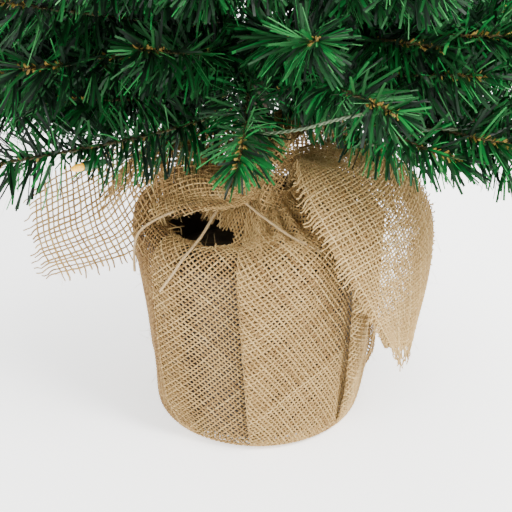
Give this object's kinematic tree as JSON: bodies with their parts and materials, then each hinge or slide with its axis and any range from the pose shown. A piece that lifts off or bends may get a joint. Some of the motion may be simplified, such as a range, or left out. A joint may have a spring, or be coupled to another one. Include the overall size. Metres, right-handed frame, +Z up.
{
  "type": "artificial tabletop tree",
  "caption": "Small artificial evergreen with bendable needle branches, a battery light string and a weighted pot wrapped and tied in burlap.",
  "frame": {"origin": "centre of the sack's flat bottom, on the trunk's axis", "axes": "+Z up along the trunk; -Y towards the front, where the twine is knotted; +X to the right seen from the front"},
  "size_m": [0.3425, 0.2904, 0.6],
  "materials": {
    "burlap": "open plain weave of natural jute",
    "jute_twine": "thin loose-laid jute thread",
    "needle_pvc": "flat cut film needles in mixed greens",
    "stem_wrap": "brown wrapped wire",
    "stem_wire": "golden-brown twisted wire",
    "pot_plastic": "satin",
    "cement": "rough cast",
    "box_plastic": "fine moulded grain",
    "switch_plastic": "satin",
    "cable_pvc": "thin green insulated wire",
    "lamp_lens": "clear, warm white",
    "cell_jacket": "satin",
    "plated_steel": "bright plated"
  },
  "bodies": {
    "root": {"pot_liner": "pot_plastic", "ballast_block": "cement", "burlap_wrap": "burlap", "twine_tie": "jute_twine", "twine_end_left": "jute_twine", "twine_end_front": "jute_twine", "twine_end_right": "jute_twine", "trunk_pole": "stem_wrap", "trunk_wrap": "stem_wrap", "leader_shoot": "needle_pvc", "light_string": "cable_pvc", "light_lead": "cable_pvc", "battery_case": "box_plastic", "battery_cell_1": "cell_jacket", "battery_cell_2": "cell_jacket", "battery_cell_3": "cell_jacket", "contact_plate_left": "plated_steel", "contact_plate_right": "plated_steel"},
    "branch_01": {"branch_01": "needle_pvc", "lamp_01": "lamp_lens"},
    "branch_02": {"branch_02": "needle_pvc"},
    "branch_03": {"branch_03": "needle_pvc", "lamp_03": "lamp_lens"},
    "branch_04": {"branch_04": "needle_pvc"},
    "branch_05": {"branch_05": "needle_pvc"},
    "branch_06": {"branch_06": "needle_pvc", "lamp_06": "lamp_lens"},
    "branch_07": {"branch_07": "needle_pvc"},
    "branch_08": {"branch_08": "needle_pvc"},
    "branch_09": {"branch_09": "needle_pvc"},
    "branch_10": {"branch_10": "needle_pvc"},
    "branch_11": {"branch_11": "needle_pvc"},
    "branch_12": {"branch_12": "needle_pvc"},
    "branch_13": {"branch_13": "needle_pvc"},
    "branch_14": {"branch_14": "needle_pvc"},
    "branch_15": {"branch_15": "needle_pvc"},
    "branch_16": {"branch_16": "needle_pvc"},
    "branch_17": {"branch_17": "needle_pvc"},
    "branch_18": {"branch_18": "needle_pvc"},
    "branch_19": {"branch_19": "needle_pvc", "lamp_19": "lamp_lens"},
    "branch_20": {"branch_20": "needle_pvc"},
    "branch_21": {"branch_21": "needle_pvc"},
    "branch_22": {"branch_22": "needle_pvc"},
    "branch_23": {"branch_23": "needle_pvc"},
    "branch_24": {"branch_24": "needle_pvc"},
    "branch_25": {"branch_25": "needle_pvc", "lamp_25": "lamp_lens"},
    "branch_26": {"branch_26": "needle_pvc"},
    "branch_27": {"branch_27": "needle_pvc"},
    "branch_28": {"branch_28": "needle_pvc"},
    "branch_29": {"branch_29": "needle_pvc", "lamp_29": "lamp_lens"},
    "branch_30": {"branch_30": "needle_pvc"},
    "branch_31": {"branch_31": "needle_pvc"},
    "branch_32": {"branch_32": "needle_pvc"},
    "branch_33": {"branch_33": "needle_pvc"},
    "branch_34": {"branch_34": "needle_pvc"},
    "battery_cover": {"battery_cover": "box_plastic"},
    "switch_slider": {"switch_slider": "switch_plastic"}
  },
  "joints": [
    {"name": "cover_slide", "type": "slide", "parent": "root", "child": "battery_cover", "axis": [1, 0, 0], "range_m": [0, 0.06]},
    {"name": "switch_slide", "type": "slide", "parent": "root", "child": "switch_slider", "axis": [1, 0, 0], "range_m": [0, 0.005]},
    {"name": "bend_01", "type": "hinge", "parent": "root", "child": "branch_01", "pos_m": [-0.00721, -0.0045, 0.172], "axis": [-0.5299, 0.848, 0], "range_deg": [-4, 14]},
    {"name": "bend_02", "type": "hinge", "parent": "root", "child": "branch_02", "pos_m": [0.00808, -0.00263, 0.185], "axis": [-0.309, -0.9511, 0], "range_deg": [-4, 14]},
    {"name": "bend_03", "type": "hinge", "parent": "root", "child": "branch_03", "pos_m": [0.00751, 0.00399, 0.178], "axis": [0.4695, -0.8829, 0], "range_deg": [-4, 14]},
    {"name": "bend_04", "type": "hinge", "parent": "root", "child": "branch_04", "pos_m": [0.00386, 0.00757, 0.172], "axis": [0.891, -0.454, 0], "range_deg": [-4, 14]},
    {"name": "bend_05", "type": "hinge", "parent": "root", "child": "branch_05", "pos_m": [-0.00386, 0.00757, 0.182], "axis": [0.891, 0.454, 0], "range_deg": [-4, 14]},
    {"name": "bend_06", "type": "hinge", "parent": "root", "child": "branch_06", "pos_m": [-0.00757, 0.00386, 0.174], "axis": [0.454, 0.891, 0], "range_deg": [-4, 14]},
    {"name": "bend_07", "type": "hinge", "parent": "root", "child": "branch_07", "pos_m": [-0.0085, 0.0003, 0.182], "axis": [0.0349, 0.9994, 0], "range_deg": [-4, 14]},
    {"name": "bend_08", "type": "hinge", "parent": "root", "child": "branch_08", "pos_m": [-0.00089, -0.00845, 0.207], "axis": [-0.9945, 0.1045, 0], "range_deg": [-6, 22]},
    {"name": "bend_09", "type": "hinge", "parent": "root", "child": "branch_09", "pos_m": [0.00177, -0.00831, 0.216], "axis": [-0.9781, -0.2079, 0], "range_deg": [-6, 22]},
    {"name": "bend_10", "type": "hinge", "parent": "root", "child": "branch_10", "pos_m": [0.00425, -0.00736, 0.21], "axis": [-0.866, -0.5, 0], "range_deg": [-6, 22]},
    {"name": "bend_11", "type": "hinge", "parent": "root", "child": "branch_11", "pos_m": [0.00688, -0.005, 0.196], "axis": [-0.5878, -0.809, 0], "range_deg": [-6, 22]},
    {"name": "bend_12", "type": "hinge", "parent": "root", "child": "branch_12", "pos_m": [0.00793, -0.00305, 0.213], "axis": [-0.3584, -0.9336, 0], "range_deg": [-6, 22]},
    {"name": "bend_13", "type": "hinge", "parent": "root", "child": "branch_13", "pos_m": [-0.00475, -0.00705, 0.205], "axis": [-0.829, 0.5592, 0], "range_deg": [-6, 22]},
    {"name": "bend_14", "type": "hinge", "parent": "root", "child": "branch_14", "pos_m": [-0.00813, -0.00248, 0.21], "axis": [-0.2924, 0.9563, 0], "range_deg": [-6, 22]},
    {"name": "bend_15", "type": "hinge", "parent": "root", "child": "branch_15", "pos_m": [-0.00705, -0.00475, 0.216], "axis": [-0.5592, 0.829, 0], "range_deg": [-6, 22]},
    {"name": "bend_16", "type": "hinge", "parent": "root", "child": "branch_16", "pos_m": [0.00837, 0.00148, 0.206], "axis": [0.1736, -0.9848, 0], "range_deg": [-6, 22]},
    {"name": "bend_17", "type": "hinge", "parent": "root", "child": "branch_17", "pos_m": [0.00601, 0.00601, 0.21], "axis": [0.7071, -0.7071, 0], "range_deg": [-6, 22]},
    {"name": "bend_18", "type": "hinge", "parent": "root", "child": "branch_18", "pos_m": [-0.00622, 0.0058, 0.21], "axis": [0.682, 0.7314, 0], "range_deg": [-6, 22]},
    {"name": "bend_19", "type": "hinge", "parent": "root", "child": "branch_19", "pos_m": [-0.00821, 0.0022, 0.214], "axis": [0.2588, 0.9659, 0], "range_deg": [-6, 22]},
    {"name": "bend_20", "type": "hinge", "parent": "root", "child": "branch_20", "pos_m": [-0.00601, -0.00601, 0.253], "axis": [-0.7071, 0.7071, 0], "range_deg": [-8, 22]},
    {"name": "bend_21", "type": "hinge", "parent": "root", "child": "branch_21", "pos_m": [-0.00162, -0.00834, 0.259], "axis": [-0.9816, 0.1908, 0], "range_deg": [-8, 22]},
    {"name": "bend_22", "type": "hinge", "parent": "root", "child": "branch_22", "pos_m": [0.00569, -0.00632, 0.253], "axis": [-0.7431, -0.6691, 0], "range_deg": [-8, 22]},
    {"name": "bend_23", "type": "hinge", "parent": "root", "child": "branch_23", "pos_m": [0.00849, -0.00044, 0.259], "axis": [-0.0523, -0.9986, 0], "range_deg": [-8, 22]},
    {"name": "bend_24", "type": "hinge", "parent": "root", "child": "branch_24", "pos_m": [0.00399, 0.00751, 0.256], "axis": [0.8829, -0.4695, 0], "range_deg": [-8, 22]},
    {"name": "bend_25", "type": "hinge", "parent": "root", "child": "branch_25", "pos_m": [-0.00751, 0.00399, 0.256], "axis": [0.4695, 0.8829, 0], "range_deg": [-8, 22]},
    {"name": "bend_26", "type": "hinge", "parent": "root", "child": "branch_26", "pos_m": [-0.00359, -0.0077, 0.305], "axis": [-0.9063, 0.4226, 0], "range_deg": [-10, 24]},
    {"name": "bend_27", "type": "hinge", "parent": "root", "child": "branch_27", "pos_m": [0.0077, -0.00359, 0.299], "axis": [-0.4226, -0.9063, 0], "range_deg": [-10, 24]},
    {"name": "bend_28", "type": "hinge", "parent": "root", "child": "branch_28", "pos_m": [0.00696, 0.00487, 0.305], "axis": [0.5736, -0.8192, 0], "range_deg": [-10, 24]},
    {"name": "bend_29", "type": "hinge", "parent": "root", "child": "branch_29", "pos_m": [-0.00847, 0.00074, 0.299], "axis": [0.0872, 0.9962, 0], "range_deg": [-10, 24]},
    {"name": "bend_30", "type": "hinge", "parent": "root", "child": "branch_30", "pos_m": [0.0022, -0.00821, 0.354], "axis": [-0.9659, -0.2588, 0], "range_deg": [-12, 26]},
    {"name": "bend_31", "type": "hinge", "parent": "root", "child": "branch_31", "pos_m": [0.00487, 0.00696, 0.35], "axis": [0.8192, -0.5736, 0], "range_deg": [-12, 26]},
    {"name": "bend_32", "type": "hinge", "parent": "root", "child": "branch_32", "pos_m": [-0.00601, 0.00601, 0.354], "axis": [0.7071, 0.7071, 0], "range_deg": [-12, 26]},
    {"name": "bend_33", "type": "hinge", "parent": "root", "child": "branch_33", "pos_m": [0.00799, -0.00291, 0.406], "axis": [-0.342, -0.9397, 0], "range_deg": [-15, 28]},
    {"name": "bend_34", "type": "hinge", "parent": "root", "child": "branch_34", "pos_m": [-0.00799, 0.00291, 0.402], "axis": [0.342, 0.9397, 0], "range_deg": [-15, 28]}
  ]
}
